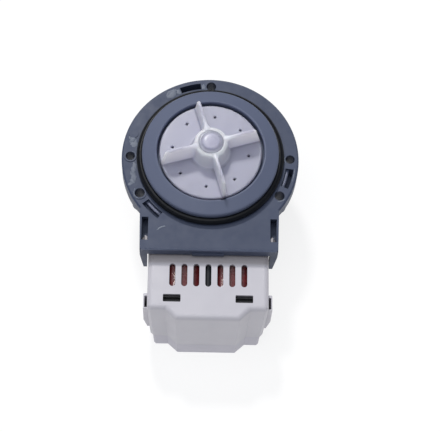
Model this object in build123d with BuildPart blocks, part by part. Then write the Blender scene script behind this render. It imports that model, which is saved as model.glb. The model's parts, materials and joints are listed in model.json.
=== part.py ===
from build123d import *
import os
from math import sin, cos, radians

os.makedirs("parts", exist_ok=True)

# Washing-machine drain pump, synchronous type.  Millimetres.
# +Z runs along the rotor axis towards the impeller, z = 0 is the front face of the
# flange, the origin is on the rotor axis.  The coil end points to -Y, and "left" is -X.

# ---- head moulding ------------------------------------------------------------
flange_r = 48.0
flange_t = 3.0
skirt_wall = 2.2
skirt_depth = 10.8
spigot_r = 36.9
spigot_h = 7.5          # height of the outer edge of the sloping face
recess_h = 9.6          # height of its inner edge
recess_r = 28.8
recess_floor = 4.2
groove_r = 35.4
groove_w = 3.9
seat_r = 39.5            # the seat of the O-ring ends here
seat_drop = 0.15
hole_pcd_r = 43.3
hole_r = 2.7
side_hole_r = 2.5
sleeve_end = 14.2         # the sleeves behind the screw holes stand out of the skirt
screw_angles = (90, 210, 330)
side_angles = (0, 180)
slot_r_in, slot_r_mid, slot_r_out = 41.1, 43.0, 45.5
slot_floor = {90: 9.3, 210: 4.7, 330: 9.3}   # depth of the closed pocket behind each slot
can_r = 17.5
can_bore = 16.0
can_end = -56.0
mouth_r = 18.2

# ---- bracket that carries the stator ------------------------------------------
bracket_x = 37.2
bracket_x_end = 36.7
bracket_y = -54.2
bracket_top = -30.0
lip_depth = 5.8
ear_depth = 26.5
window_x0, window_x1 = 32.5, 36.0
window_y0, window_y1 = -48.4, -35.3

# ---- impeller ------------------------------------------------------------------
disc_r = 27.6
disc_top = 8.2
disc_t = 2.0
blade_angles = (16.5, 106.5, 196.5, 286.5)
blade_tip_r = 25.1
blade_top = 21.6         # height at the tip
blade_hub = 20.6         # height at the hub
blade_t = 1.9
hub_r = 8.4
hub_foot_r = 10.4
hub_top = 20.2
hub_floor = 10.4
hub_cavity_r = 6.6
dot_r = 0.75
dot_ring = 20.6

# ---- rotor ---------------------------------------------------------------------
shaft_r = 2.0
shaft_fit = 0.05
magnet_r = 14.6
magnet_z0, magnet_z1 = -46.2, -12.0
dog_top = 18.0

# ---- stator --------------------------------------------------------------------
stack_z0, stack_z1 = -43.5, -18.5
limb_x, limb_w = 13.2, 12.0
bore_r = 18.1
yoke_y0, yoke_y1 = -87.6, -76.8
bobbin_wall = 1.2
coil_half_x = 11.9
coil_z0, coil_z1 = -50.2, -11.8
coil_y0, coil_y1 = -75.0, -42.6

# ---- covers --------------------------------------------------------------------
cover_x = 32.3
rear_x = 30.9            # the rear cover is a little narrower
cover_wall = 1.8
cover_front = -8.0
cover_split = -44.0
cover_back = -56.0
cover_top_y = -33.0
end_slope = 3.34 / 48.0    # the end wall leans out to the rear
side_taper = 0.075 / 50.0   # the outline narrows to the rear
vent_w = 3.2
vent_y0, vent_y1 = -71.26, -58.56
vent_pitch = 6.36


def sector(r0, r1, a0, a1):
    """Closed outline of a ring sector between two radii and two angles."""
    CenterArc((0, 0), r0, a0, a1 - a0)
    CenterArc((0, 0), r1, a0, a1 - a0)
    for a in (a0, a1):
        c, s = cos(radians(a)), sin(radians(a))
        Line((r0 * c, r0 * s), (r1 * c, r1 * s))


def cover_points(z, wall, top, side=cover_x, c=1.7):
    """Outline of the coil covers at height z; the end wall leans out to the rear."""
    dy = (z - cover_front) * end_slope
    f = 1.0 + (z - cover_front) * side_taper
    x = side * f - wall
    # the wall offset moves the ends of the slanted corner faces along them
    k0 = 22.6 * f - 0.38 * wall
    k1 = 16.9 * f - 0.38 * wall
    y0 = -83.86 + 1.24 * dy + wall
    y1 = -89.36 + dy + wall
    return [
        (-x, top), (-x, y0 + c), (-x + c, y0), (-k0, y0), (-k1, y1),
        (k1, y1), (k0, y0), (x - c, y0), (x, y0 + c), (x, top),
    ]


# ================================================================================
# 1. pump head: flange, spigot, rotor can and stator bracket in one moulding
# ================================================================================
with BuildPart() as pump_head:
    # turned profile, from the closed end of the rotor can out to the flange rim
    with BuildSketch(Plane.XZ):
        with BuildLine():
            Polyline(
                (0, can_end), (16.3, can_end), (can_r, can_end + 1.2), (can_r, -12.0),
                (20.4, -9.0), (20.4, 1.2), (recess_r, 1.2), (recess_r, -flange_t),
                (31.0, -flange_t), (31.0, 5.4), (33.2, 5.2), (33.2, -flange_t),
                (flange_r - skirt_wall, -flange_t), (flange_r - skirt_wall, -skirt_depth),
                (flange_r, -skirt_depth), (flange_r, -0.9), (flange_r - 0.9, 0),
                (seat_r, 0), (seat_r, -seat_drop), (groove_r, -seat_drop),
                (groove_r, groove_w), (spigot_r, groove_w),
                (spigot_r, spigot_h - 1.3), (spigot_r - 0.15, spigot_h - 0.75),
                (spigot_r - 0.6, spigot_h - 0.2), (spigot_r - 1.3, spigot_h + 0.1),
                (recess_r + 1.0, recess_h), (recess_r + 0.45, recess_h - 0.05),
                (recess_r + 0.1, recess_h - 0.35), (recess_r, recess_h - 0.9),
                (recess_r, recess_floor), (mouth_r, recess_floor),
                (mouth_r, -7.5), (can_bore, -9.0), (can_bore, -53.6), (8.8, -53.6),
                (8.8, -48.0), (7.2, -48.0), (7.2, -54.2), (0, -54.2), close=True,
            )
        make_face()
    revolve(axis=Axis.Z)

    # the skirt stops where the stator bracket begins
    with BuildSketch(Plane.XY.offset(-flange_t)):
        with Locations((0, -45)):
            Rectangle(2 * (window_x1 - 0.2), 28)
    extrude(amount=-(skirt_depth - flange_t + 1), mode=Mode.SUBTRACT)
    # and gets shallower on the way there
    with BuildSketch(Plane.YZ.offset(-50)):
        with BuildLine():
            Polyline((-22.0, -skirt_depth - 1), (-22.0, -skirt_depth), (-33.5, -7.0), (-50.0, -7.0),
                     (-50.0, -skirt_depth - 1), close=True)
        make_face()
    extrude(amount=100, mode=Mode.SUBTRACT)

    # bracket plate below the flange
    with BuildSketch(Plane.XY.offset(-flange_t)):
        with BuildLine():
            Polyline(
                (-bracket_x, bracket_top), (-bracket_x_end, bracket_y + 1.4),
                (-bracket_x_end + 1.4, bracket_y), (bracket_x_end - 1.4, bracket_y),
                (bracket_x_end, bracket_y + 1.4), (bracket_x, bracket_top), close=True,
            )
        make_face()
        Circle(seat_r + 1.0, mode=Mode.SUBTRACT)
    extrude(amount=flange_t)

    # lip along the free edge of the plate
    with BuildSketch(Plane.XY.offset(-lip_depth)):
        with Locations((0, bracket_y + 1.1)):
            Rectangle(2 * 33.4, 2.2)
    extrude(amount=lip_depth - 0.5)
    # short tongue in the middle of the lip
    with BuildSketch(Plane.XY.offset(-lip_depth + 0.1)):
        with Locations((-0.4, bracket_y + 0.15)):
            Rectangle(17.0, 1.7)
    extrude(amount=2.4)

    # side walls of the bracket, leaning in towards the rear
    for s in (-1, 1):
        with BuildSketch(Plane.XZ.offset(-bracket_top)):
            with BuildLine():
                Polyline(
                    (s * bracket_x_end, -0.8), (s * bracket_x_end, -9.0),
                    (s * (bracket_x_end - 1.7), -ear_depth), (s * (bracket_x_end - 3.0), -ear_depth),
                    (s * (window_x1 - 0.3), -9.0), (s * (window_x1 - 0.3), -0.8), close=True,
                )
            make_face()
        extrude(amount=bracket_top - (bracket_y + 1.4) + 0.0)
        # thick ear at the free corner
        with BuildSketch(Plane.XZ.offset(-window_y0)):
            with BuildLine():
                Polyline(
                    (s * bracket_x_end, -0.8), (s * bracket_x_end, -9.0),
                    (s * (bracket_x_end - 1.7), -ear_depth), (s * (bracket_x_end - 3.6), -ear_depth),
                    (s * 32.9, -9.0), (s * 32.7, -0.8), close=True,
                )
            make_face()
        extrude(amount=window_y0 - (bracket_y + 0.6))
        # web between the side wall and the cover, below the window
        with BuildSketch(Plane.XY.offset(-10.2)):
            with Locations((s * 34.45, -37.7)):
                Rectangle(3.5, 13.0)
        extrude(amount=1.2)

    # the side walls get shallower towards the flange
    with BuildSketch(Plane.YZ.offset(-40)):
        with BuildLine():
            Polyline((-30.9, -11.0), (-30.9, -30.0), (-44.0, -30.0), (-40.0, -ear_depth + 4), close=True)
        make_face()
    extrude(amount=80, mode=Mode.SUBTRACT)

    # radial ribs behind the flange, and sleeves behind the screw holes
    for a in (15, 45, 67.5, 112.5, 135, 165):
        with BuildSketch(Plane.XY.offset(-8.5)):
            with Locations(Location((0, 0, 0), (0, 0, a))):
                with Locations((33.0, 0)):
                    Rectangle(26.0, 1.6)
        extrude(amount=8.2)
    for a in side_angles + screw_angles:
        with BuildSketch(Plane.XY.offset(-sleeve_end)):
            with Locations((hole_pcd_r * cos(radians(a)), hole_pcd_r * sin(radians(a)))):
                Circle(4.3)
        extrude(amount=sleeve_end - 2.0)
    # closed pockets behind the bayonet slots, shallow where the coil cover is near
    for a in screw_angles:
        with BuildSketch(Plane.XY.offset(-slot_floor[a] - 0.9)):
            with BuildLine():
                sector(slot_r_in - 1.2, slot_r_out + 0.8, a + 5.6, a + 24.4)
            make_face()
        extrude(amount=slot_floor[a] - 1.5)
    with BuildSketch(Plane.XY.offset(1)):
        for a in screw_angles:
            with Locations((hole_pcd_r * cos(radians(a)), hole_pcd_r * sin(radians(a)))):
                Circle(hole_r)
        for a in side_angles:
            with Locations((hole_pcd_r * cos(radians(a)), hole_pcd_r * sin(radians(a)))):
                Circle(side_hole_r)
    extrude(amount=-sleeve_end - 2, mode=Mode.SUBTRACT)

    # bayonet slots with a sunk ledge along their inner side
    for a in screw_angles:
        with BuildSketch(Plane.XY.offset(1)):
            with BuildLine():
                sector(slot_r_mid, slot_r_out, a + 7.5, a + 22.5)
            make_face()
        extrude(amount=-1 - slot_floor[a], mode=Mode.SUBTRACT)
        with BuildSketch(Plane.XY.offset(1)):
            with BuildLine():
                sector(slot_r_in, slot_r_mid + 0.1, a + 7.5, a + 22.5)
            make_face()
        extrude(amount=-3, mode=Mode.SUBTRACT)

    # windows for the cover's snap hooks
    for s in (-1, 1):
        with BuildSketch(Plane.XY.offset(1)):
            with Locations((s * (window_x0 + window_x1) / 2, (window_y0 + window_y1) / 2)):
                Rectangle(window_x1 - window_x0, window_y1 - window_y0)
        extrude(amount=-flange_t - 2, mode=Mode.SUBTRACT)

    # low collars round the screw holes, and a small round boss on the left
    for a, r in ((180, side_hole_r), (210, hole_r)):
        with BuildSketch(Plane.XY.offset(-0.5)):
            with Locations((hole_pcd_r * cos(radians(a)), hole_pcd_r * sin(radians(a)))):
                Circle(r + 0.9)
                Circle(r, mode=Mode.SUBTRACT)
        extrude(amount=0.95)
    with BuildSketch(Plane.XY.offset(-0.5)):
        with Locations((44.0 * cos(radians(162)), 44.0 * sin(radians(162)))):
            Circle(2.6)
    extrude(amount=0.9)
    # shallow notch in the mouth of the recess
    with BuildSketch(Plane.XY.offset(recess_h + 0.5)):
        with Locations(Location((0, 0, 0), (0, 0, -76))):
            with Locations((recess_r + 0.4, 0)):
                Rectangle(2.2, 2.6)
    extrude(amount=-2.2, mode=Mode.SUBTRACT)

# ================================================================================
# 2. seals
# ================================================================================
with BuildPart() as head_seal:
    with BuildSketch(Plane.XZ):
        with Locations((groove_r + 2.03, groove_w / 2 - 0.05)):
            Circle(1.98)
    revolve(axis=Axis.Z)

with BuildPart() as holder_seal:
    with BuildSketch(Plane.XZ):
        with Locations((17.2, -3.4)):
            Circle(0.94)
    revolve(axis=Axis.Z)

# ================================================================================
# 3. bearing holder, bushes, their rubber mounts, shaft seal
# ================================================================================
with BuildPart() as bearing_holder:
    with BuildSketch(Plane.XZ):
        with BuildLine():
            Polyline(
                (2.7, 4.1), (17.6, 4.1), (18.1, 3.6), (18.1, -2.4), (16.2, -2.4),
                (16.2, -4.4), (18.1, -4.4), (18.1, -7.4), (14.8, -7.4), (14.8, 0.8),
                (9.0, 0.8), (9.0, -7.4), (7.0, -7.4), (7.0, 2.6), (2.7, 2.6), close=True,
            )
        make_face()
    revolve(axis=Axis.Z)
    # stiffening webs in the rear pocket
    for a in range(0, 360, 45):
        with BuildSketch(Plane.XY.offset(-6.0)):
            with Locations(Location((0, 0, 0), (0, 0, a + 10))):
                with Locations((11.9, 0)):
                    Rectangle(6.6, 1.2)
        extrude(amount=7.3)

with BuildPart() as shaft_seal:
    with BuildSketch(Plane.XZ):
        with BuildLine():
            Polyline(
                (shaft_r + shaft_fit, 1.9), (3.0, 2.6), (7.0, 2.6), (7.0, 0.8),
                (3.4, 0.8), (3.0, 1.4), (shaft_r + shaft_fit, 1.4), close=True,
            )
        make_face()
    revolve(axis=Axis.Z)

with BuildPart() as front_bush_mount:
    with BuildSketch(Plane.XY.offset(-6.4)):
        Circle(7.0)
        Circle(4.4, mode=Mode.SUBTRACT)
    extrude(amount=7.2)
    with BuildSketch(Plane.XY.offset(-6.4)):
        with PolarLocations(5.7, 8):
            Circle(0.8)
    extrude(amount=3.5, mode=Mode.SUBTRACT)

with BuildPart() as front_bush:
    with BuildSketch(Plane.XY.offset(-6.4)):
        Circle(4.4)
        Circle(shaft_r + shaft_fit, mode=Mode.SUBTRACT)
    extrude(amount=7.2)
    chamfer(front_bush.edges().filter_by(GeomType.CIRCLE).sort_by(Axis.Z)[0:1], 0.3)

with BuildPart() as rear_bush_mount:
    with BuildSketch(Plane.XZ):
        with BuildLine():
            Polyline(
                (2.7, -54.2), (7.2, -54.2), (7.2, -48.3), (6.8, -48.0), (4.2, -48.0),
                (4.2, -53.7), (2.7, -53.7), close=True,
            )
        make_face()
    revolve(axis=Axis.Z)

with BuildPart() as rear_bush:
    with BuildSketch(Plane.XY.offset(-53.7)):
        Circle(4.2)
        Circle(shaft_r + shaft_fit, mode=Mode.SUBTRACT)
    extrude(amount=5.7)

# ================================================================================
# 4. rotor: shaft, magnet, core sleeve, washers, drive dog
# ================================================================================
with BuildPart() as rotor_shaft:
    with BuildSketch(Plane.XY.offset(-53.8)):
        Circle(shaft_r)
    extrude(amount=53.8 + dog_top)
    chamfer(rotor_shaft.edges().filter_by(GeomType.CIRCLE), 0.3)

with BuildPart() as magnet_core:
    with BuildSketch(Plane.XZ):
        with BuildLine():
            Polyline(
                (shaft_r, -46.9), (4.4, -46.9), (9.5, -46.7), (9.5, magnet_z0), (5.0, magnet_z0),
                (5.0, magnet_z1), (9.5, magnet_z1), (9.5, -11.4), (4.4, -10.8),
                (4.4, -7.6), (shaft_r, -7.6), close=True,
            )
        make_face()
    revolve(axis=Axis.Z)

with BuildPart() as rotor_magnet:
    with BuildSketch(Plane.XY.offset(magnet_z0)):
        Circle(magnet_r)
        Circle(5.0, mode=Mode.SUBTRACT)
    extrude(amount=magnet_z1 - magnet_z0)
    chamfer(
        rotor_magnet.edges().filter_by(GeomType.CIRCLE).filter_by(lambda e: e.radius > 10), 0.8
    )

with BuildPart() as thrust_washers:
    for z0 in (-7.6, -47.7):
        with BuildSketch(Plane.XY.offset(z0)):
            Circle(4.1)
            Circle(shaft_r, mode=Mode.SUBTRACT)
        extrude(amount=0.8)

with BuildPart() as drive_dog:
    with BuildSketch(Plane.XY.offset(dog_top - 7.0)):
        Circle(3.6)
        Circle(shaft_r, mode=Mode.SUBTRACT)
    extrude(amount=7.0)
    with BuildSketch(Plane.XY.offset(dog_top - 6.5)):
        with BuildLine():
            sector(3.2, 6.1, -35, 35)
        make_face()
    extrude(amount=6.0)

# ================================================================================
# 5. impeller with its inner stop, buffers and cap
# ================================================================================
with BuildPart() as impeller:
    # disc and hub, one turned profile with the cavity of the lost-motion drive
    with BuildSketch(Plane.XZ):
        with BuildLine():
            Polyline(
                (shaft_r + shaft_fit, 5.1), (5.2, 5.1), (5.8, disc_top - disc_t),
                (disc_r - 0.4, disc_top - disc_t), (disc_r, disc_top - disc_t + 0.4),
                (disc_r, disc_top - 0.6), (disc_r - 0.6, disc_top), (hub_foot_r + 0.6, disc_top),
                (hub_foot_r - 0.6, disc_top + 0.7), (hub_r + 0.35, disc_top + 4.5),
                (hub_r, hub_top - 1.0), (hub_r - 0.3, hub_top - 0.3), (hub_r - 1.0, hub_top),
                (hub_cavity_r, hub_top),
                (hub_cavity_r, hub_floor), (shaft_r + shaft_fit, hub_floor), close=True,
            )
        make_face()
    revolve(axis=Axis.Z)
    # four blades with sloping tips
    for a in blade_angles:
        blade_plane = Plane(
            origin=(0, 0, 0),
            x_dir=(cos(radians(a)), sin(radians(a)), 0),
            z_dir=(sin(radians(a)), -cos(radians(a)), 0),
        )
        with BuildSketch(blade_plane):
            with BuildLine():
                Polyline(
                    (7.4, disc_top - 0.6), (27.2, disc_top - 0.6), (27.3, disc_top + 0.4),
                    (blade_tip_r, blade_top - 2.2), (blade_tip_r - 0.5, blade_top - 0.7),
                    (blade_tip_r - 1.5, blade_top - 0.05), (blade_tip_r - 2.4, blade_top),
                    (7.4, blade_hub), close=True,
                )
            make_face()
        extrude(amount=blade_t / 2, both=True)
    # stop inside the hub
    with BuildSketch(Plane.XY.offset(hub_floor - 0.2)):
        with BuildLine():
            sector(3.95, hub_cavity_r + 0.3, 145, 215)
        make_face()
    extrude(amount=7.8)
    # small through holes in the disc
    with BuildSketch(Plane.XY.offset(disc_top + 1)):
        for k in range(8):
            a = radians(-5.9 + 45 * k)
            with Locations((dot_ring * cos(a), dot_ring * sin(a))):
                Circle(dot_r)
    extrude(amount=-5, mode=Mode.SUBTRACT)

with BuildPart() as dog_buffers:
    for a0 in (125.5, 215):
        with BuildSketch(Plane.XY.offset(hub_floor + 0.1)):
            with BuildLine():
                sector(3.95, hub_cavity_r - 0.1, a0, a0 + 19.5)
            make_face()
        extrude(amount=6.8)

with BuildPart() as impeller_cap:
    with BuildSketch(Plane.XZ):
        with BuildLine():
            Polyline((0, 22.7), (0, 18.5), (hub_cavity_r, 18.5), (hub_cavity_r, 19.4),
                     (5.5, 19.4), (5.35, 21.2))
            ThreePointArc((5.35, 21.2), (4.85, 22.0), (3.8, 22.35))
            Polyline((3.8, 22.35), (2.0, 22.62), (0, 22.7))
        make_face()
    revolve(axis=Axis.Z)

# ================================================================================
# 6. laminated core: two limbs with pole shoes, yoke and rivets
# ================================================================================
rivet_spots = ((23.6, 8.0), (23.6, -12.0), (10.5, -82.4))

with BuildPart() as right_pole_stack:
    with BuildSketch(Plane.XY.offset(stack_z0)):
        with BuildLine():
            Polyline(
                (limb_x - limb_w / 2, yoke_y1), (limb_x + limb_w / 2, yoke_y1),
                (limb_x + limb_w / 2, -34.0), (28.5, -22.0), (28.5, 13.0), (19.5, 24.0),
                (3.2, 24.0), (3.2, 0), (3.2, -24.0), (limb_x - limb_w / 2, -28.0), close=True,
            )
        make_face()
        Circle(bore_r, mode=Mode.SUBTRACT)
        # stepped air gap that sets the rest angle of the rotor
        with BuildLine():
            sector(17.0, bore_r + 1.0, 20, 60)
        make_face(mode=Mode.SUBTRACT)
        for x, y in rivet_spots[:2]:
            with Locations((x, y)):
                Circle(1.5, mode=Mode.SUBTRACT)
    extrude(amount=stack_z1 - stack_z0)

with BuildPart() as left_pole_stack:
    with BuildSketch(Plane.XY.offset(stack_z0)):
        with BuildLine():
            Polyline(
                (-(limb_x - limb_w / 2), yoke_y1), (-(limb_x + limb_w / 2), yoke_y1),
                (-(limb_x + limb_w / 2), -34.0), (-28.5, -22.0), (-28.5, 13.0), (-19.5, 24.0),
                (-3.2, 24.0), (-3.2, 0), (-3.2, -24.0), (-(limb_x - limb_w / 2), -28.0), close=True,
            )
        make_face()
        Circle(bore_r, mode=Mode.SUBTRACT)
        with BuildLine():
            sector(17.0, bore_r + 1.0, 200, 240)
        make_face(mode=Mode.SUBTRACT)
        for x, y in rivet_spots[:2]:
            with Locations((-x, y)):
                Circle(1.5, mode=Mode.SUBTRACT)
    extrude(amount=stack_z1 - stack_z0)

with BuildPart() as core_yoke:
    with BuildSketch(Plane.XY.offset(stack_z0)):
        with BuildLine():
            Polyline(
                (-19.2, yoke_y1), (-19.2, -84.0), (-14.6, yoke_y0), (14.6, yoke_y0),
                (19.2, -84.0), (19.2, yoke_y1), close=True,
            )
        make_face()
        for s in (-1, 1):
            with Locations((s * rivet_spots[2][0], rivet_spots[2][1])):
                Circle(1.5, mode=Mode.SUBTRACT)
    extrude(amount=stack_z1 - stack_z0)

with BuildPart() as core_rivets:
    for x, y in rivet_spots:
        for s in (-1, 1):
            with BuildSketch(Plane.XY.offset(stack_z0)):
                with Locations((s * x, y)):
                    Circle(1.5)
            extrude(amount=stack_z1 - stack_z0)
            for z0 in (stack_z0 - 0.9, stack_z1):
                with BuildSketch(Plane.XY.offset(z0)):
                    with Locations((s * x, y)):
                        Circle(2.7)
                extrude(amount=0.9)

# ================================================================================
# 7. bobbins and windings
# ================================================================================
tube_x = limb_w / 2 + bobbin_wall
tube_z0, tube_z1 = stack_z0 - bobbin_wall, stack_z1 + bobbin_wall
tube_zc = (tube_z0 + tube_z1) / 2


bobbins = []
for s in (-1, 1):
    # winding tube, two flanges and a shelf over the yoke
    with BuildPart() as bobbin:
        for y0, t in ((coil_y0 - 1.6, 1.6), (coil_y1, 1.6)):
            with BuildSketch(Plane.XZ.offset(-(y0 + t))):
                with Locations((s * limb_x, tube_zc)):
                    RectangleRounded(24.6, 40.6, 1.5)
            extrude(amount=t)
        with BuildSketch(Plane.XZ.offset(-coil_y1)):
            with Locations((s * limb_x, tube_zc)):
                Rectangle(2 * tube_x, tube_z1 - tube_z0)
        extrude(amount=coil_y1 - coil_y0)
        # shelf that reaches back over the yoke
        with BuildSketch(Plane.XY.offset(stack_z1 + 0.4)):
            with Locations((s * 18.9, -79.4)):
                Rectangle(10.0, 5.6)
        extrude(amount=4.2)
        # square hole for the limb
        with BuildSketch(Plane.XZ.offset(-(coil_y1 + 2.0))):
            with Locations((s * limb_x, tube_zc)):
                Rectangle(limb_w, stack_z1 - stack_z0)
        extrude(amount=coil_y1 - coil_y0 + 4.0, mode=Mode.SUBTRACT)
    bobbins.append(bobbin)
left_bobbin, right_bobbin = bobbins

with BuildPart() as left_coil:
    with BuildSketch(Plane.XZ.offset(-coil_y1)):
        with Locations((-limb_x, tube_zc)):
            RectangleRounded(2 * coil_half_x, coil_z1 - coil_z0, 5.5)
            Rectangle(2 * tube_x, tube_z1 - tube_z0, mode=Mode.SUBTRACT)
    extrude(amount=coil_y1 - coil_y0)

with BuildPart() as right_coil:
    with BuildSketch(Plane.XZ.offset(-coil_y1)):
        with Locations((limb_x, tube_zc)):
            RectangleRounded(2 * coil_half_x, coil_z1 - coil_z0, 5.5)
            Rectangle(2 * tube_x, tube_z1 - tube_z0, mode=Mode.SUBTRACT)
    extrude(amount=coil_y1 - coil_y0)

# ================================================================================
# 8. thermal cut-out, its sleeve and the leads
# ================================================================================
cut_z = -12.2
with BuildPart() as thermal_cutout:
    with BuildSketch(Plane.XZ.offset(58.0)):
        with Locations((0, cut_z)):
            Circle(1.55)
    extrude(amount=12.0)

with BuildPart() as cutout_sleeve:
    with BuildSketch(Plane.XZ.offset(56.0)):
        with Locations((0, cut_z)):
            Circle(2.15)
            Circle(1.55, mode=Mode.SUBTRACT)
    extrude(amount=16.4)

with BuildPart() as link_leads:
    with BuildLine() as link_a:
        FilletPolyline((0, -70.0, cut_z), (0, -72.7, cut_z), (-2.6, -73.3, -11.1), (-9.0, -73.3, -11.1),
                       radius=0.6)
    with BuildSketch(Plane(origin=(0, -70.0, cut_z), z_dir=(0, -1, 0))):
        Circle(0.4)
    sweep(path=link_a.wires()[0])
    with BuildLine() as link_b:
        FilletPolyline((0, -58.0, cut_z), (0, -55.3, cut_z), (2.6, -54.7, -11.1), (9.0, -54.7, -11.1),
                       radius=0.6)
    with BuildSketch(Plane(origin=(0, -58.0, cut_z), z_dir=(0, 1, 0))):
        Circle(0.4)
    sweep(path=link_b.wires()[0])

# ================================================================================
# 9. terminals
# ================================================================================
block_y0, block_y1 = -90.0, -77.8
blade_x, blade_y = 5.2, -84.3

with BuildPart() as terminal_block:
    with BuildSketch(Plane.XY.offset(-55.6)):
        with Locations((0, (block_y0 + block_y1) / 2)):
            Rectangle(25.0, block_y1 - block_y0)
    extrude(amount=10.4)
    with BuildSketch(Plane.XY.offset(-56.0)):
        with Locations((0, blade_y)):
            Rectangle(22.0, 10.2)
    extrude(amount=8.7, mode=Mode.SUBTRACT)
    # keying rib between the blades
    with BuildSketch(Plane.XY.offset(-47.0)):
        with Locations((0, blade_y)):
            Rectangle(1.2, 2.4)
    extrude(amount=-3.5)
    # slots that hold the blades and their inner tails
    for s in (-1, 1):
        with BuildSketch(Plane.XY.offset(-48.0)):
            with Locations((s * blade_x, blade_y)):
                Rectangle(6.3, 0.8)
        extrude(amount=1.9, mode=Mode.SUBTRACT)
        with BuildSketch(Plane.XY.offset(-46.9)):
            with Locations((s * blade_x, (blade_y - 0.4 + block_y1) / 2)):
                Rectangle(2.4, block_y1 - blade_y + 0.4)
        extrude(amount=0.8, mode=Mode.SUBTRACT)


terminals = []
for s in (-1, 1):
    # flat blade with a hole and pointed tip, and a tail bent towards the coils
    with BuildPart() as terminal:
        with BuildSketch(Plane.XZ.offset(-(blade_y + 0.4))):
            with BuildLine():
                x = s * blade_x
                Polyline(
                    (x - 3.15, -46.1), (x - 3.15, -53.6), (x - 2.0, -54.6), (x + 2.0, -54.6),
                    (x + 3.15, -53.6), (x + 3.15, -46.1), close=True,
                )
            make_face()
            with Locations((s * blade_x, -50.6)):
                Circle(0.9, mode=Mode.SUBTRACT)
        extrude(amount=0.8)
        with BuildSketch(Plane.XY.offset(-46.9)):
            with Locations((s * blade_x, (blade_y - 0.4 + block_y1) / 2)):
                Rectangle(2.4, block_y1 - blade_y + 0.4)
        extrude(amount=0.8)
    terminals.append(terminal)
left_terminal, right_terminal = terminals

with BuildPart() as coil_leads:
    for s in (-1, 1):
        with BuildLine() as lead_path:
            FilletPolyline(
                (s * blade_x, block_y1, -46.5), (s * blade_x, -77.2, -46.5), (s * blade_x, -77.2, -52.6),
                (s * blade_x, -74.2, -52.6), (s * blade_x, -69.0, -50.75), radius=0.4,
            )
        with BuildSketch(Plane(origin=(s * blade_x, block_y1, -46.5), z_dir=(0, 1, 0))):
            Circle(0.35)
        sweep(path=lead_path.wires()[0])

# ================================================================================
# 10. coil cover (front shell)
# ================================================================================
with BuildPart() as coil_cover:
    for z in (cover_split, cover_front):
        with BuildSketch(Plane.XY.offset(z)):
            with BuildLine():
                Polyline(*cover_points(z, 0.0, cover_top_y), close=True)
            make_face()
    loft(ruled=True)
    front = coil_cover.faces().sort_by(Axis.Z)[-1]
    rim = front.edges().filter_by(lambda e: e.center().Y < cover_top_y - 0.5)
    fillet(rim, 2.8)
    # hollow inside, open towards the pump and to the rear
    for z in (cover_split - 0.01, cover_front - cover_wall):
        with BuildSketch(Plane.XY.offset(z)):
            with BuildLine():
                Polyline(*cover_points(z, cover_wall, cover_top_y + 2.0), close=True)
            make_face()
    loft(ruled=True, mode=Mode.SUBTRACT)
    # seven vents
    with BuildSketch(Plane.XY.offset(cover_front + 1)):
        with Locations(*[(k * vent_pitch, (vent_y0 + vent_y1) / 2) for k in range(-3, 4)]):
            SlotOverall(vent_y1 - vent_y0, vent_w, rotation=90)
    extrude(amount=-4, mode=Mode.SUBTRACT)
    # two rectangular holes
    with BuildSketch(Plane.XY.offset(cover_front + 1)):
        with Locations((-19.15, -77.86), (19.15, -77.86)):
            RectangleRounded(9.3, 4.2, 0.5)
    extrude(amount=-4, mode=Mode.SUBTRACT)
    # latch loops on both sides, and the hooks that snap into the bracket windows
    for s in (-1, 1):
        with BuildSketch(Plane.XZ.offset(73.4)):
            with BuildLine():
                Polyline(
                    (s * 30.4, -14.0), (s * 33.9, -14.0), (s * 34.3, -14.6), (s * 34.3, -33.0),
                    (s * 32.4, cover_split), (s * 29.6, cover_split), close=True,
                )
            make_face()
        extrude(amount=8.3)
        with BuildSketch(Plane.XY.offset(-13.5)):
            with Locations((s * 32.85, -78.0)):
                Rectangle(1.7, 6.4)
        extrude(amount=-20.0, mode=Mode.SUBTRACT)
        with BuildSketch(Plane.XZ.offset(45.9)):
            with BuildLine():
                Polyline(
                    (s * 31.4, -16.0), (s * 32.9, -16.0), (s * 34.6, -8.0), (s * 35.4, -5.2),
                    (s * 35.4, -4.2), (s * 33.9, -1.4), (s * 32.8, -1.4), (s * 32.8, -8.0),
                    (s * 31.6, -12.0), close=True,
                )
            make_face()
        extrude(amount=2.1)
        # thin web that stiffens the hook
        with BuildSketch(Plane.XZ.offset(44.6)):
            with BuildLine():
                Polyline(
                    (s * 31.3, -15.0), (s * 32.7, -15.0), (s * 34.2, -11.0), (s * 34.2, -3.4),
                    (s * 33.4, -3.4), (s * 33.4, -10.0), (s * 31.5, -12.6), close=True,
                )
            make_face()
        extrude(amount=2.2)

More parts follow.
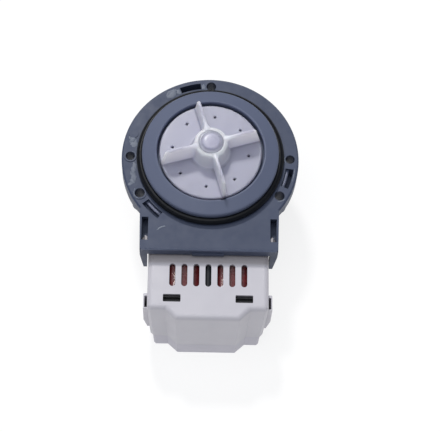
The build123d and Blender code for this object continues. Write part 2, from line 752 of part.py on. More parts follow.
# ================================================================================
# 11. rear cover with the connector socket
# ================================================================================
with BuildPart() as rear_cover:
    for z in (cover_back, cover_split - 0.15):
        with BuildSketch(Plane.XY.offset(z)):
            with BuildLine():
                Polyline(*cover_points(z, 0.0, cover_top_y, rear_x, 1.0), close=True)
            make_face()
    loft(ruled=True)
    back = rear_cover.faces().sort_by(Axis.Z)[0]
    rim = back.edges().filter_by(lambda e: e.center().Y < cover_top_y - 0.5)
    fillet(rim, 0.7)
    for z in (cover_back + cover_wall, cover_split):
        with BuildSketch(Plane.XY.offset(z)):
            with BuildLine():
                Polyline(*cover_points(z, cover_wall, cover_top_y + 2.0, rear_x, 1.0), close=True)
            make_face()
    loft(ruled=True, mode=Mode.SUBTRACT)
    # opening for the terminal block
    with BuildSketch(Plane.XY.offset(cover_back - 1)):
        with Locations((0, blade_y)):
            Rectangle(22.0, 10.2)
    extrude(amount=1.5 + 0.0, mode=Mode.SUBTRACT)
    with BuildSketch(Plane.XY.offset(-55.6)):
        with Locations((0, (block_y0 + block_y1) / 2)):
            Rectangle(25.0, block_y1 - block_y0)
    extrude(amount=12, mode=Mode.SUBTRACT)
    # rear vents
    with BuildSketch(Plane.XY.offset(cover_back - 1)):
        with Locations(*[(k * vent_pitch, -58.0) for k in range(-3, 4)]):
            SlotOverall(16.0, vent_w, rotation=90)
    extrude(amount=4, mode=Mode.SUBTRACT)

nodes = {
    "pump_head": pump_head,
    "head_seal": head_seal,
    "bearing_holder": bearing_holder,
    "holder_seal": holder_seal,
    "shaft_seal": shaft_seal,
    "front_bush": front_bush,
    "front_bush_mount": front_bush_mount,
    "rear_bush": rear_bush,
    "rear_bush_mount": rear_bush_mount,
    "rotor_shaft": rotor_shaft,
    "rotor_magnet": rotor_magnet,
    "magnet_core": magnet_core,
    "thrust_washers": thrust_washers,
    "drive_dog": drive_dog,
    "impeller": impeller,
    "dog_buffers": dog_buffers,
    "impeller_cap": impeller_cap,
    "left_pole_stack": left_pole_stack,
    "right_pole_stack": right_pole_stack,
    "core_yoke": core_yoke,
    "core_rivets": core_rivets,
    "left_bobbin": left_bobbin,
    "right_bobbin": right_bobbin,
    "left_coil": left_coil,
    "right_coil": right_coil,
    "thermal_cutout": thermal_cutout,
    "cutout_sleeve": cutout_sleeve,
    "link_leads": link_leads,
    "coil_leads": coil_leads,
    "terminal_block": terminal_block,
    "left_terminal": left_terminal,
    "right_terminal": right_terminal,
    "coil_cover": coil_cover,
    "rear_cover": rear_cover,
}
for label, piece in nodes.items():
    piece.part.label = label
    export_step(piece.part, f"parts/{label}.step")
    solids = piece.part.solids()
    print(label, len(solids), round(sum(s.volume for s in solids), 2))
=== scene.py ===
import bpy, bmesh, json, math, random
from math import sin, cos, pi, radians, sqrt, exp
from mathutils import Vector, Matrix


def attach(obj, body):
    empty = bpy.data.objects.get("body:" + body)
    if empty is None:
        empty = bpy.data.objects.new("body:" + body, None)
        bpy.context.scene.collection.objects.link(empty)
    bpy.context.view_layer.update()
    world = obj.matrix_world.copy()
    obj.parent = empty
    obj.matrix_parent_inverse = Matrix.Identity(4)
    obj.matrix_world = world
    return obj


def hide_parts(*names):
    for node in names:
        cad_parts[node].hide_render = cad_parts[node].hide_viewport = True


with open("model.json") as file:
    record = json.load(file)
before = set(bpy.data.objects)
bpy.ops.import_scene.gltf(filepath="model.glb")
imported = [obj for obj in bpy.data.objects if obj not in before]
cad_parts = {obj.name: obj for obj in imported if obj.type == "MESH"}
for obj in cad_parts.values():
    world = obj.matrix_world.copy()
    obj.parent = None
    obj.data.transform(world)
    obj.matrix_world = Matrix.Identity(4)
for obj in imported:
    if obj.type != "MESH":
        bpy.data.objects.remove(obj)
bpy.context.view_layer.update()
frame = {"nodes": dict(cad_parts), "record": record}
nodes = frame["nodes"]
scene = bpy.context.scene
MM = 0.001


# ------------------------------------------------------------------------------
# camera
# ------------------------------------------------------------------------------
el, az, roll = radians(67.31), radians(-3.36), radians(4.29)
dist = 0.800
target = Vector((0.00588, -0.03402, 0.0))
back = Vector((sin(az) * cos(el), -cos(az) * cos(el), sin(el)))
right = (-back).cross(Vector((0, 0, 1))).normalized()
up = right.cross(-back)
r2 = cos(roll) * right + sin(roll) * up
u2 = -sin(roll) * right + cos(roll) * up
cam_data = bpy.data.cameras.new("shot")
cam = bpy.data.objects.new("shot", cam_data)
scene.collection.objects.link(cam)
m = Matrix.Identity(4)
for i in range(3):
    m[i][0], m[i][1], m[i][2] = r2[i], u2[i], back[i]
    m[i][3] = (target + dist * back)[i]
cam.matrix_world = m
cam_data.sensor_fit = "HORIZONTAL"
cam_data.sensor_width = 36.0
cam_data.lens = 36.0 * 1500.8 / 441.0
cam_data.clip_start = 0.01
cam_data.clip_end = 20.0
scene.camera = cam


# ------------------------------------------------------------------------------
# materials
# ------------------------------------------------------------------------------
def new_mat(name):
    mat = bpy.data.materials.new(name)
    mat.use_nodes = True
    nt = mat.node_tree
    nt.nodes.clear()
    out = nt.nodes.new("ShaderNodeOutputMaterial")
    b = nt.nodes.new("ShaderNodeBsdfPrincipled")
    nt.links.new(b.outputs[0], out.inputs[0])
    tc = nt.nodes.new("ShaderNodeTexCoord")
    return mat, nt, b, tc


def noise(nt, vec, scale, detail=3.0, rough=0.55, dist=0.0):
    n = nt.nodes.new("ShaderNodeTexNoise")
    n.inputs["Scale"].default_value = scale
    n.inputs["Detail"].default_value = detail
    n.inputs["Roughness"].default_value = rough
    n.inputs["Distortion"].default_value = dist
    nt.links.new(vec, n.inputs["Vector"])
    return n.outputs[0]


def remap(nt, val, a, b, c, d):
    r = nt.nodes.new("ShaderNodeMapRange")
    r.inputs[1].default_value, r.inputs[2].default_value = a, b
    r.inputs[3].default_value, r.inputs[4].default_value = c, d
    nt.links.new(val, r.inputs[0])
    return r.outputs[0]


def mix_col(nt, fac, c1, c2):
    n = nt.nodes.new("ShaderNodeMix")
    n.data_type = "RGBA"
    if isinstance(fac, (int, float)):
        n.inputs[0].default_value = fac
    else:
        nt.links.new(fac, n.inputs[0])
    for k, c in ((6, c1), (7, c2)):
        if isinstance(c, tuple):
            n.inputs[k].default_value = (*c, 1.0)
        else:
            nt.links.new(c, n.inputs[k])
    return n.outputs[2]


def math_node(nt, op, a, b=None):
    n = nt.nodes.new("ShaderNodeMath")
    n.operation = op
    for k, v in ((0, a), (1, b)):
        if v is None:
            continue
        if isinstance(v, (int, float)):
            n.inputs[k].default_value = v
        else:
            nt.links.new(v, n.inputs[k])
    return n.outputs[0]


def bump(nt, b, layers):
    """layers: (height, strength, distance in metres)"""
    last = None
    for h, s, d in layers:
        bn = nt.nodes.new("ShaderNodeBump")
        bn.inputs["Strength"].default_value = s
        bn.inputs["Distance"].default_value = d
        nt.links.new(h, bn.inputs["Height"])
        if last is not None:
            nt.links.new(last, bn.inputs["Normal"])
        last = bn.outputs[0]
    nt.links.new(last, b.inputs["Normal"])


def moulded(name, dark, light, rough=(0.35, 0.5), grain=0.25, spec=0.5, coat=0.0, wave=0.12, sss=None, paler_above=None, painted_shade=None):
    """Injection-moulded plastic: slight colour drift, fine grain, soft unevenness."""
    mat, nt, b, tc = new_mat(name)
    v = tc.outputs["Object"]
    big = noise(nt, v, 38.0, 4.0)
    fine = noise(nt, v, 1700.0, 2.0)
    patch = noise(nt, v, 190.0, 3.0, 0.6)
    f = remap(nt, big, 0.32, 0.68, 0.0, 1.0)
    c = mix_col(nt, f, dark, light)
    if paler_above:
        # paler above a height; on the impeller this is painted light, standing in for light passing through its thin
        # translucent blades and hub
        z0, z1, pale = paler_above[:3]
        sep = nt.nodes.new("ShaderNodeSeparateXYZ")
        nt.links.new(v, sep.inputs[0])
        plain = c
        c = mix_col(nt, remap(nt, sep.outputs[2], z0 * MM, z1 * MM, 0.0, 1.0), plain, pale)
        if len(paler_above) > 3:
            # and back to the plain colour on the rounded top edges
            c = mix_col(nt, remap(nt, sep.outputs[2], paler_above[3] * MM, paler_above[4] * MM, 0.0, 1.0), c, plain)
    if painted_shade:
        # painted shade: darker under the overhang, beyond a line across the part, standing in for the shadow of the
        # bracket plate
        y0, y1, shade_colour = painted_shade
        sy = nt.nodes.new("ShaderNodeSeparateXYZ")
        nt.links.new(v, sy.inputs[0])
        c = mix_col(nt, remap(nt, sy.outputs[1], y0 * MM, y1 * MM, 0.0, 1.0), c, shade_colour)
    nt.links.new(c, b.inputs["Base Color"])
    nt.links.new(remap(nt, patch, 0.3, 0.7, rough[0], rough[1]), b.inputs["Roughness"])
    bump(nt, b, ((big, wave, 0.002), (fine, grain, 0.00004)))
    b.inputs["Specular IOR Level"].default_value = spec
    if coat:
        b.inputs["Coat Weight"].default_value = coat
        b.inputs["Coat Roughness"].default_value = 0.18
    if sss:
        b.inputs["Subsurface Weight"].default_value = sss
        b.inputs["Subsurface Radius"].default_value = (1.0, 0.9, 0.9)
        b.inputs["Subsurface Scale"].default_value = 0.009
    return mat


def metal(name, dark, light, rough=(0.25, 0.45), scratch=0.2, stretch=(1, 1, 30), metallic=1.0):
    mat, nt, b, tc = new_mat(name)
    mp = nt.nodes.new("ShaderNodeMapping")
    mp.inputs["Scale"].default_value = stretch
    nt.links.new(tc.outputs["Object"], mp.inputs["Vector"])
    lines = noise(nt, mp.outputs[0], 260.0, 4.0)
    big = noise(nt, tc.outputs["Object"], 120.0, 4.0)
    nt.links.new(mix_col(nt, remap(nt, big, 0.3, 0.7, 0, 1), dark, light), b.inputs["Base Color"])
    nt.links.new(remap(nt, lines, 0.3, 0.7, rough[0], rough[1]), b.inputs["Roughness"])
    b.inputs["Metallic"].default_value = metallic
    bump(nt, b, ((lines, scratch, 0.00003),))
    return mat


def laminated(name):
    """Edges of thin sheets stacked along Z, with darker gaps and light rust."""
    mat, nt, b, tc = new_mat(name)
    v = tc.outputs["Object"]
    sep = nt.nodes.new("ShaderNodeSeparateXYZ")
    nt.links.new(v, sep.inputs[0])
    z = math_node(nt, "MULTIPLY", sep.outputs[2], 2000.0)       # one sheet per 0.5 mm
    fr = math_node(nt, "FRACT", z)
    tri = math_node(nt, "ABSOLUTE", math_node(nt, "SUBTRACT", fr, 0.5))
    gap = remap(nt, tri, 0.36, 0.48, 0.0, 1.0)
    geo = nt.nodes.new("ShaderNodeNewGeometry")
    sn = nt.nodes.new("ShaderNodeSeparateXYZ")
    nt.links.new(geo.outputs["True Normal"], sn.inputs[0])
    side = remap(nt, math_node(nt, "ABSOLUTE", sn.outputs[2]), 0.5, 0.8, 1.0, 0.0)
    gap = math_node(nt, "MULTIPLY", gap, side)
    mott = noise(nt, v, 240.0, 5.0, 0.65)
    rust = noise(nt, v, 90.0, 6.0, 0.7)
    c = mix_col(nt, remap(nt, mott, 0.3, 0.7, 0, 1), (0.13, 0.135, 0.15), (0.24, 0.245, 0.26))
    c = mix_col(nt, remap(nt, rust, 0.60, 0.76, 0.0, 0.5), c, (0.16, 0.085, 0.045))
    c = mix_col(nt, gap, c, (0.03, 0.03, 0.034))
    nt.links.new(c, b.inputs["Base Color"])
    b.inputs["Metallic"].default_value = 0.75
    nt.links.new(remap(nt, mott, 0.3, 0.7, 0.38, 0.6), b.inputs["Roughness"])
    inv = math_node(nt, "SUBTRACT", 1.0, gap)
    bump(nt, b, ((inv, 0.6, 0.00012), (mott, 0.15, 0.0001)))
    return mat


def rubber(name, col=(0.012, 0.012, 0.014), rough=(0.38, 0.55), spec=0.18):
    mat, nt, b, tc = new_mat(name)
    v = tc.outputs["Object"]
    fine = noise(nt, v, 1500.0, 3.0)
    dust = noise(nt, v, 420.0, 5.0, 0.7)
    b.inputs["Specular IOR Level"].default_value = spec
    lite = tuple(x * 1.7 + 0.002 for x in col)
    nt.links.new(mix_col(nt, remap(nt, dust, 0.5, 0.75, 0, 1), col, lite), b.inputs["Base Color"])
    nt.links.new(remap(nt, dust, 0.3, 0.7, rough[0], rough[1]), b.inputs["Roughness"])
    bump(nt, b, ((fine, 0.18, 0.00004),))
    return mat


def enamel(name):
    """Enamelled copper wire, deep red with a varnish gloss."""
    mat, nt, b, tc = new_mat(name)
    v = tc.outputs["Object"]
    big = noise(nt, v, 160.0, 3.0)
    fine = noise(nt, v, 900.0, 3.0)
    c = mix_col(nt, remap(nt, big, 0.3, 0.7, 0, 1), (0.085, 0.005, 0.008), (0.145, 0.009, 0.011))
    nt.links.new(c, b.inputs["Base Color"])
    b.inputs["Metallic"].default_value = 0.1
    nt.links.new(remap(nt, fine, 0.3, 0.7, 0.40, 0.52), b.inputs["Roughness"])
    b.inputs["Specular IOR Level"].default_value = 0.3
    b.inputs["Coat Weight"].default_value = 0.75
    b.inputs["Coat Roughness"].default_value = 0.065
    bump(nt, b, ((fine, 0.1, 0.00003),))
    return mat


M = {
    "head_plastic": moulded("head_moulding", (0.048, 0.063, 0.112), (0.057, 0.073, 0.125), (0.42, 0.55), 0.15, spec=0.3, wave=0.05,
                            paler_above=(4.0, 5.4, (0.106, 0.126, 0.195))),
    "holder_plastic": moulded("holder_moulding", (0.085, 0.10, 0.14), (0.10, 0.115, 0.155), (0.4, 0.55)),
    "seal_rubber": rubber("ring_rubber", (0.004, 0.005, 0.0075), (0.30, 0.44), 0.16),
    "bush_carbon": moulded("carbon_bush", (0.03, 0.03, 0.033), (0.055, 0.055, 0.06), (0.45, 0.6), 0.5),
    "shaft_steel": metal("ground_steel", (0.5, 0.5, 0.52), (0.62, 0.62, 0.64), (0.15, 0.28), 0.1),
    "magnet_ferrite": moulded("ferrite", (0.045, 0.045, 0.05), (0.075, 0.075, 0.08), (0.5, 0.7), 0.6),
    "inner_plastic": moulded("inner_moulding", (0.66, 0.65, 0.60), (0.72, 0.71, 0.66), (0.4, 0.55)),
    "washer_plastic": moulded("washer_moulding", (0.5, 0.47, 0.4), (0.56, 0.53, 0.46), (0.4, 0.55)),
    # painted light: paler from the disc face up, standing in for light passing through the thin translucent blades;
    # plain again on the rounded top edges
    "impeller_plastic": moulded("impeller_moulding", (0.375, 0.375, 0.478), (0.405, 0.405, 0.508), (0.30, 0.42), 0.10,
                                wave=0.10, sss=0.9, paler_above=(8.35, 9.4, (0.80, 0.80, 0.935), 20.4, 21.6)),
    "cap_plastic": moulded("cap_moulding", (0.425, 0.425, 0.54), (0.455, 0.455, 0.57), (0.24, 0.36), 0.10, wave=0.08, sss=0.9),
    "core_steel": laminated("laminated_core"),
    "rivet_steel": metal("rivet_metal", (0.34, 0.34, 0.36), (0.46, 0.46, 0.48), (0.3, 0.5)),
    "bobbin_plastic": moulded("bobbin_moulding", (0.016, 0.016, 0.02), (0.026, 0.026, 0.03), (0.35, 0.5)),
    "coil_wire": enamel("wound_wire"),
    "cutout_metal": metal("cutout_case", (0.4, 0.4, 0.42), (0.5, 0.5, 0.52)),
    "sleeve_black": moulded("sleeve_film", (0.010, 0.012, 0.016), (0.015, 0.017, 0.022), (0.46, 0.56), 0.1, spec=0.25, wave=0.03),
    "lead_wire": enamel("lead_enamel"),
    "block_plastic": moulded("block_moulding", (0.53, 0.53, 0.55), (0.57, 0.57, 0.59), (0.4, 0.55)),
    "terminal_brass": metal("tinned_brass", (0.62, 0.58, 0.46), (0.72, 0.69, 0.6), (0.2, 0.38)),
    # painted shade: the strip of cover under the bracket plate is darkened in colour as the plate's shadow
    "cover_plastic": moulded("cover_moulding", (0.556, 0.545, 0.595), (0.586, 0.573, 0.619), (0.40, 0.54), 0.2, wave=0.05,
                             painted_shade=(-59.0, -57.4, (0.37, 0.35, 0.37))),
    # painted shade: a slightly darker, bluer copy of the cover plastic, standing in for the shade on the end wall
    "rear_plastic": moulded("rear_moulding_painted_shade", (0.535, 0.522, 0.592), (0.565, 0.550, 0.617), (0.42, 0.56), 0.2, wave=0.05),
}
# painted sheen: paler than the head moulding, standing in for highlights on the raised marks
flow_sheen = moulded("flow_marks_painted_sheen", (0.115, 0.135, 0.185), (0.16, 0.185, 0.24), (0.42, 0.5), 0.05, spec=0.35, wave=0.04)
# painted highlight: paler than the head moulding, standing in for the light caught by the two ledges
ledge_highlight = moulded("ledge_painted_highlight", (0.15, 0.165, 0.24), (0.18, 0.195, 0.27), (0.38, 0.5), 0.1, spec=0.4, wave=0.05)
for sp in frame["record"]["subparts"]:
    o = nodes[sp["node"]]
    o.data.materials.clear()
    o.data.materials.append(M[sp["material_slot"]])


# ------------------------------------------------------------------------------
# mesh helpers, all lengths in millimetres
# ------------------------------------------------------------------------------
def add_mesh(name, verts, faces, smooth=True):
    me = bpy.data.meshes.new(name)
    me.from_pydata([(x * MM, y * MM, z * MM) for x, y, z in verts], [], faces)
    me.validate()
    bm = bmesh.new()
    bm.from_mesh(me)
    bmesh.ops.recalc_face_normals(bm, faces=bm.faces)
    bm.to_mesh(me)
    bm.free()
    ob = bpy.data.objects.new(name, me)
    scene.collection.objects.link(ob)
    if smooth:
        me.polygons.foreach_set("use_smooth", [True] * len(me.polygons))
    return ob


def lathe(name, pts, seg=128, closed=True):
    """Turns a closed (r, z) outline about Z; points with r = 0 become one pole."""
    verts, faces, rows = [], [], []
    for r, z in pts:
        if r < 1e-6:
            rows.append([len(verts)])
            verts.append((0, 0, z))
        else:
            rows.append(list(range(len(verts), len(verts) + seg)))
            for k in range(seg):
                a = 2 * pi * k / seg
                verts.append((r * cos(a), r * sin(a), z))
    pairs = list(zip(rows, rows[1:]))
    if closed and len(rows[0]) > 1 and len(rows[-1]) > 1:
        pairs.append((rows[-1], rows[0]))
    for a, b in pairs:
        for k in range(seg):
            k2 = (k + 1) % seg
            if len(a) == 1 and len(b) == 1:
                break
            if len(a) == 1:
                faces.append((a[0], b[k], b[k2]))
            elif len(b) == 1:
                faces.append((a[k], b[0], a[k2]))
            else:
                faces.append((a[k], b[k], b[k2], a[k2]))
    return add_mesh(name, verts, faces)


def prism(name, outline, z0, z1):
    n = len(outline)
    verts = [(x, y, z0) for x, y in outline] + [(x, y, z1) for x, y in outline]
    faces = [tuple(range(n))[::-1], tuple(range(n, 2 * n))]
    faces += [(k, (k + 1) % n, n + (k + 1) % n, n + k) for k in range(n)]
    return add_mesh(name, verts, faces, smooth=False)


def join(name, obs):
    bpy.ops.object.select_all(action="DESELECT")
    for o in obs:
        o.select_set(True)
    bpy.context.view_layer.objects.active = obs[0]
    bpy.ops.object.join()
    obs[0].name = name
    obs[0].data.name = name
    return obs[0]


def apply_mods(ob):
    bpy.context.view_layer.objects.active = ob
    dg = bpy.context.evaluated_depsgraph_get()
    me = bpy.data.meshes.new_from_object(ob.evaluated_get(dg))
    old = ob.data
    ob.modifiers.clear()
    ob.data = me
    me.name = ob.name
    bpy.data.meshes.remove(old)


def soften(ob, voxel, iterations, factor=0.5):
    md = ob.modifiers.new("r", "REMESH")
    md.mode = "VOXEL"
    md.voxel_size = voxel * MM
    md.use_smooth_shade = True
    if iterations:
        sm = ob.modifiers.new("s", "SMOOTH")
        sm.factor = factor
        sm.iterations = iterations
    apply_mods(ob)


def dress(ob, slot_name, body, *replaced):
    ob.data.materials.clear()
    ob.data.materials.append(M[slot_name])
    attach(ob, body)
    if replaced:
        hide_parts(*replaced)


# ------------------------------------------------------------------------------
# impeller: disc, flared hub and four drafted blades, softened together
# ------------------------------------------------------------------------------
disc_top, tip_r = 8.2, 25.1
hub = lathe("impeller_piece", [
    (2.05, 5.1), (5.2, 5.1), (5.8, 6.2), (27.2, 6.2), (27.6, 6.6), (27.6, 7.6), (27.1, 8.2), (12.0, 8.2),
    (11.2, 8.35), (10.5, 8.8), (9.95, 9.7), (9.6, 11.2), (9.35, 13.4), (9.1, 16.0), (9.0, 18.0), (8.9, 19.0),
    (8.6, 19.7), (8.1, 20.15), (7.5, 20.32), (6.9, 20.35), (6.66, 20.33), (6.6, 20.28), (6.6, 10.4), (2.05, 10.4)], 180)


def blade_height(r):
    if r <= 22.0:
        return 20.6 + 1.0 * min(1.0, max(0.0, (r - 8.4) / 8.0))
    if r <= tip_r:
        t = (r - 22.0) / (tip_r - 22.0)
        return 21.6 - 2.3 * (1 - sqrt(max(0.0, 1 - t * t))) if t < 1 else 19.3
    return 19.3 + (8.3 - 19.3) * (r - tip_r) / (27.35 - tip_r)


def blade(a_deg):
    rs = [6.9 + k * (22.0 - 6.9) / 16 for k in range(16)]
    rs += [22.0 + (tip_r - 22.0) * sin(pi / 2 * k / 8) for k in range(9)]
    rs += [tip_r + (27.35 - tip_r) * k / 6 for k in range(1, 7)]
    levels = [0.0, 0.03, 0.06, 0.1, 0.16, 0.25, 0.4, 0.6, 0.8, 0.9, 0.95, 0.985, 1.0]
    ca, sa = cos(radians(a_deg)), sin(radians(a_deg))
    verts, faces, rings = [], [], []
    for r in rs:
        H = blade_height(r)
        ring = []
        z0 = 7.2
        for side in (1, -1):
            seq = levels if side == 1 else levels[::-1]
            for f in seq:
                z = z0 + (H - z0) * f
                t = 0.82 + 0.16 * (21.6 - z) / 13.4 + 0.55 * exp(-max(0.0, z - disc_top) / 0.7)
                t += 0.9 * exp(-max(0.0, r - 8.9) / 0.9)
                e = H - z
                if e < 0.8:
                    t *= sqrt(max(0.05, 1 - ((0.8 - e) / 0.8) ** 2 * 0.85))
                ring.append((r * ca - side * t * sa, r * sa + side * t * ca, z))
        rings.append(list(range(len(verts), len(verts) + len(ring))))
        verts += ring
    n = len(rings[0])
    for a, b in zip(rings, rings[1:]):
        for k in range(n):
            k2 = (k + 1) % n
            faces.append((a[k], a[k2], b[k2], b[k]))
    faces.append(tuple(rings[0]))
    faces.append(tuple(rings[-1][::-1]))
    return add_mesh("blade", verts, faces)


arc = [radians(145 + 70 * k / 14) for k in range(15)]
stop = prism("stop", [(6.9 * cos(a), 6.9 * sin(a)) for a in arc] + [(3.95 * cos(a), 3.95 * sin(a)) for a in arc[::-1]],
             10.2, 18.0)
impeller = join("impeller_piece", [hub] + [blade(a) for a in (16.5, 106.5, 196.5, 286.5)] + [stop])
soften(impeller, 0.30, 0)
drills = []
for k in range(8):
    a = radians(-5.9 + 45 * k)
    drills.append(prism("drill", [(20.6 * cos(a) + 0.75 * cos(2 * pi * j / 20), 20.6 * sin(a) + 0.75 * sin(2 * pi * j / 20))
                                  for j in range(20)], 4.0, 11.0))
drill = join("drill", drills)
md = impeller.modifiers.new("b", "BOOLEAN")
md.operation = "DIFFERENCE"
md.solver = "EXACT"
md.object = drill
apply_mods(impeller)
bpy.data.objects.remove(drill)
sm = impeller.modifiers.new("s", "SMOOTH")
sm.factor = 0.5
sm.iterations = 4
apply_mods(impeller)
impeller.data.polygons.foreach_set("use_smooth", [True] * len(impeller.data.polygons))
dress(impeller, "impeller_plastic", "impeller_wheel", "impeller")

# cap with a domed button, held in the top of the hub
dome = [(0, 21.85), (2.2, 21.84), (3.2, 21.8), (3.8, 21.72), (4.2, 21.6), (4.55, 21.38), (4.8, 21.1), (5.0, 20.8),
        (5.25, 20.6), (5.6, 20.45), (6.1, 20.36), (6.57, 20.34), (6.6, 20.28), (6.6, 18.5), (0, 18.5)]
cap = lathe("cap_piece", dome, 120)
dress(cap, "cap_plastic", "impeller_wheel", "impeller_cap")


# ------------------------------------------------------------------------------
# O-ring with its two fine mould lines
# ------------------------------------------------------------------------------
ring = []
for k in range(40):
    a = 2 * pi * k / 40
    rr = 2.14 + (0.05 if k in (3, 17) else 0.0)
    ring.append((37.75 + rr * cos(a), 1.98 + rr * sin(a)))
dress(lathe("seal_piece", ring, 220), "seal_rubber", "motor_housing", "head_seal")


# ------------------------------------------------------------------------------
# glossy raised flow marks and edge beads on the flange, paler than the head: painted sheen standing in for the
# highlights on them
# ------------------------------------------------------------------------------
def bead(path, w, h, z0=0.0):
    pts = [Vector((x, y)) for x, y in path]
    fine = []
    n = len(pts)
    for i in range(n - 1):
        p0, p1, p2, p3 = pts[max(0, i - 1)], pts[i], pts[i + 1], pts[min(n - 1, i + 2)]
        for k in range(6):
            t = k / 6
            fine.append(0.5 * ((2 * p1) + (p2 - p0) * t + (2 * p0 - 5 * p1 + 4 * p2 - p3) * t * t
                               + (3 * p1 - p0 - 3 * p2 + p3) * t ** 3))
    fine.append(pts[-1])
    verts, faces, rings = [], [], []
    m_ = len(fine)
    for i, q in enumerate(fine):
        d = (fine[min(m_ - 1, i + 1)] - fine[max(0, i - 1)]).normalized()
        nx, ny = -d.y, d.x
        f = min(1.0, 0.25 + 0.75 * sin(pi * (i + 0.5) / m_) * 1.5)
        f *= 1.0 + 0.12 * sin(0.9 * i + 5.0 * w)
        start = len(verts)
        for j in range(9):
            u = -1 + 2 * j / 8
            verts.append((q.x + nx * u * w * f / 2, q.y + ny * u * w * f / 2, z0 - 0.06 + (h * f + 0.06) * sqrt(max(0.0, 1 - u * u))))
        verts.append((q.x, q.y, z0 - 0.12))
        rings.append(list(range(start, start + 10)))
    for a, b_ in zip(rings, rings[1:]):
        for k in range(10):
            k2 = (k + 1) % 10
            faces.append((a[k], a[k2], b_[k2], b_[k]))
    faces.append(tuple(rings[0]))
    faces.append(tuple(rings[-1][::-1]))
    return add_mesh("bead", verts, faces)


def arc_path(cx, cy, r, a0, a1, n=6):
    return [(cx + r * cos(radians(a0 + (a1 - a0) * k / n)), cy + r * sin(radians(a0 + (a1 - a0) * k / n))) for k in range(n + 1)]


def blotch(cx, cy, rx, ry, rot, h, seed, z0=0.0):
    """Low dome with an uneven outline."""
    rnd = random.Random(seed)
    ph = [rnd.uniform(0, 2 * pi) for _ in range(3)]
    ca, sa = cos(radians(rot)), sin(radians(rot))
    seg, rows = 36, [1.0, 0.93, 0.84, 0.7, 0.5, 0.28]
    verts, faces = [], []

    def ring(f, z):
        out = []
        for k in range(seg):
            a = 2 * pi * k / seg
            w = 1 + 0.13 * sin(2 * a + ph[0]) + 0.09 * sin(3 * a + ph[1]) + 0.05 * sin(5 * a + ph[2])
            x, y = f * w * rx * cos(a), f * w * ry * sin(a)
            out.append(len(verts))
            verts.append((cx + x * ca - y * sa, cy + x * sa + y * ca, z))
        return out

    prev = ring(1.0, z0 - 0.1)
    base = prev
    for f in rows:
        cur = ring(f, z0 + h * (1 - f ** 3) ** 0.6 + 0.004)
        faces += [(prev[k], prev[(k + 1) % seg], cur[(k + 1) % seg], cur[k]) for k in range(seg)]
        prev = cur
    verts.append((cx, cy, z0 + h))
    faces += [(prev[k], prev[(k + 1) % seg], len(verts) - 1) for k in range(seg)]
    faces.append(tuple(base[::-1]))
    return add_mesh("blotch", verts, faces)


marks = [
    blotch(-21.6, 37.8, 2.9, 2.0, 35, 0.22, 1),
    blotch(-17.9, 39.5, 1.4, 1.5, 60, 0.16, 2),
    bead([(-24.4, 36.9), (-23.6, 38.9), (-21.3, 40.3), (-18.7, 40.7)], 1.5, 0.05),
    blotch(-4.3, 42.9, 1.0, 1.8, 10, 0.20, 3),
    bead([(-42.6, 13.0), (-42.5, 11.0), (-42.0, 9.0), (-41.6, 7.2), (-41.8, 5.4)], 4.6, 0.10),
    blotch(-42.3, 10.6, 2.3, 1.7, 80, 0.32, 4),
    bead([(-41.4, -3.4), (-40.9, -5.4), (-41.2, -7.6), (-41.6, -9.6), (-41.1, -11.8), (-41.2, -14.0), (-42.2, -15.8),
          (-44.0, -17.0)], 3.2, 0.09),
    blotch(-41.4, -8.4, 1.3, 2.2, 0, 0.26, 8),
    blotch(-41.7, -14.6, 1.7, 1.2, -30, 0.24, 10),
    bead(arc_path(-37.5, -21.65, 3.25, 100, 290), 1.3, 0.60),
    bead(arc_path(-43.3, 0.0, 3.0, -20, 80), 1.0, 0.56),
    bead(arc_path(-43.3, 0.0, 3.0, 130, 190), 0.9, 0.52),
    blotch(-26.3, -41.6, 1.7, 0.6, 40, 0.10, 11),
    blotch(-24.7, -40.8, 1.6, 0.5, 15, 0.10, 12),
    bead(arc_path(0, 0, 46.2, 343.0, 353.5, 6), 0.8, 0.18),
    bead(arc_path(37.5, -21.65, 3.2, 250, 330), 0.9, 0.2),
    bead(arc_path(43.3, 0.0, 3.05, 150, 230), 0.8, 0.2),
]
flow = join("flow_marks", marks)
dress(flow, "head_plastic", "motor_housing")
flow.data.materials.clear()
flow.data.materials.append(flow_sheen)

# smooth faces on the two ledges, paler than the head: painted highlight standing in for the light they catch
ledges = join("ledge_faces", [bead(arc_path(0, 0, 42.2, 218.2, 231.0, 8), 1.8, 0.5, -2.0),
                              bead(arc_path(0, 0, 42.1, 338.5, 351.0, 8), 1.5, 0.4, -2.0)])
dress(ledges, "head_plastic", "motor_housing")
ledges.data.materials.clear()
ledges.data.materials.append(ledge_highlight)

# rounded edge line along the foot of the bracket plate
line = bead([(-34.0, -53.3), (-20.0, -53.35), (0.0, -53.35), (20.0, -53.35), (34.0, -53.3)], 1.3, 0.16)
line.name = line.data.name = "plate_edge"
dress(line, "head_plastic", "motor_housing")


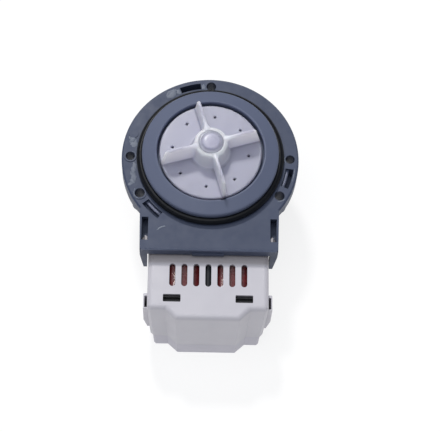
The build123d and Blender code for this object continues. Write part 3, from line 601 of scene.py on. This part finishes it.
# ------------------------------------------------------------------------------
# coils: the outer layer shows its separate turns
# ------------------------------------------------------------------------------
def wound(name, cx, seed):
    rnd = random.Random(seed)
    y0, y1 = -75.0 + 0.02, -42.6 - 0.02
    zc, hx, hz, rc = -31.0, 11.9, 19.2, 5.5
    pitch, per = 0.72, 8
    turns = int((y1 - y0) / pitch)
    pitch = (y1 - y0) / turns
    outline = []
    for qx, qz, a0 in ((1, 1, 0), (-1, 1, 90), (-1, -1, 180), (1, -1, 270)):
        for k in range(9):
            a = radians(a0 + 90 * k / 8)
            outline.append((qx * (hx - rc) + rc * cos(a), qz * (hz - rc) + rc * sin(a), cos(a), sin(a)))
    fill = []
    n0 = len(outline)
    for k in range(n0):
        a, b = outline[k], outline[(k + 1) % n0]
        fill.append(a)
        d = sqrt((a[0] - b[0]) ** 2 + (a[1] - b[1]) ** 2)
        if d > 2.5:
            m_ = int(d / 1.1)
            for j in range(1, m_):
                t = j / m_
                fill.append((a[0] + (b[0] - a[0]) * t, a[1] + (b[1] - a[1]) * t, a[2], a[3]))
    # the layers bulge in the middle of the wide faces
    outline = [(x, z * (1 - 0.058 * (x / hx) ** 2), nx, nz) for x, z, nx, nz in fill]
    n = len(outline)
    tall = [rnd.uniform(-0.05, 0.03) for _ in range(turns + 2)]
    slack = [rnd.uniform(0, 2 * pi) for _ in range(turns + 2)]
    verts, faces, rings = [], [], []
    steps = turns * per
    for j in range(steps + 1):
        ring = []
        for k, (x, z, nx, nz) in enumerate(outline):
            ph = j / per + 0.5 * k / n
            t = int(ph)
            u = 2 * (ph - t) - 1
            h = 0.30 * (sqrt(max(0.0, 1 - 0.92 * u * u)) - 1)
            h += tall[min(t, turns)] + 0.03 * sin(slack[min(t, turns)] + 2 * pi * k / n * 2)
            y = y0 + (y1 - y0) * j / steps
            if j == 0 or j == steps:
                h -= 0.1
            ring.append((cx + x + nx * h, y, zc + z + nz * h))
        rings.append(list(range(len(verts), len(verts) + n)))
        verts += ring
    for a, b in zip(rings, rings[1:]):
        for k in range(n):
            k2 = (k + 1) % n
            faces.append((a[k], a[k2], b[k2], b[k]))
    # end faces reach in to the winding tube
    tx, tz = 7.2, 13.7
    for ring, rev in ((rings[0], False), (rings[-1], True)):
        y = verts[ring[0]][1]
        inner = []
        for (x, z, nx, nz) in outline:
            s = max(abs(x) / tx, abs(z) / tz)
            inner.append(len(verts))
            verts.append((cx + x / s, y, zc + z / s))
        for k in range(n):
            k2 = (k + 1) % n
            faces.append((ring[k], ring[k2], inner[k2], inner[k]))
        if rev:
            last = inner
        else:
            first = inner
    for k in range(n):
        k2 = (k + 1) % n
        faces.append((first[k], first[k2], last[k2], last[k]))
    return add_mesh(name, verts, faces)


dress(wound("left_winding", -13.2, 11), "coil_wire", "motor_housing", "left_coil")
dress(wound("right_winding", 13.2, 12), "coil_wire", "motor_housing", "right_coil")


# ------------------------------------------------------------------------------
# floor, light
# ------------------------------------------------------------------------------
fm, nt, b, tc = new_mat("pale_floor")
nz = noise(nt, tc.outputs["Object"], 3.0, 2.0)
nt.links.new(mix_col(nt, nz, (0.21, 0.21, 0.21), (0.23, 0.23, 0.23)), b.inputs["Base Color"])
b.inputs["Roughness"].default_value = 0.75
b.inputs["Emission Color"].default_value = (1.0, 1.0, 1.0, 1.0)
b.inputs["Emission Strength"].default_value = 0.80
bpy.ops.mesh.primitive_plane_add(size=12, location=(0, 0, -0.0562))
floor = bpy.context.object
floor.name = "floor"
floor.data.materials.append(fm)

world = bpy.data.worlds.new("room")
scene.world = world
world.use_nodes = True
wb = world.node_tree.nodes["Background"]
wb.inputs[0].default_value = (0.88, 0.91, 1.0, 1.0)
wb.inputs[1].default_value = 0.255


def area(name, pos, aim, size, power, color=(1, 1, 1), gloss=0.35):
    ld = bpy.data.lights.new(name, "AREA")
    ld.shape = "DISK"
    ld.size = size
    ld.energy = power
    ld.color = color
    ld.specular_factor = gloss
    ob = bpy.data.objects.new(name, ld)
    scene.collection.objects.link(ob)
    ob.location = pos
    d = Vector(aim) - Vector(pos)
    ob.rotation_euler = d.to_track_quat("-Z", "Y").to_euler()
    return ob


key_dir = Vector((-0.15, cos(radians(55.5)), sin(radians(55.5)))).normalized()
area("key", Vector((0, -0.02, 0)) + 1.5 * key_dir, (0, -0.02, 0), 0.20, 10.1, (1.0, 0.985, 0.965), 0.6)
area("overhead", (-0.18, -0.12, 1.5), (0, -0.03, 0), 1.3, 10.6, (0.96, 0.975, 1.0), 0.5)

scene.view_settings.view_transform = "Standard"
scene.view_settings.look = "None"
scene.view_settings.exposure = 0.0
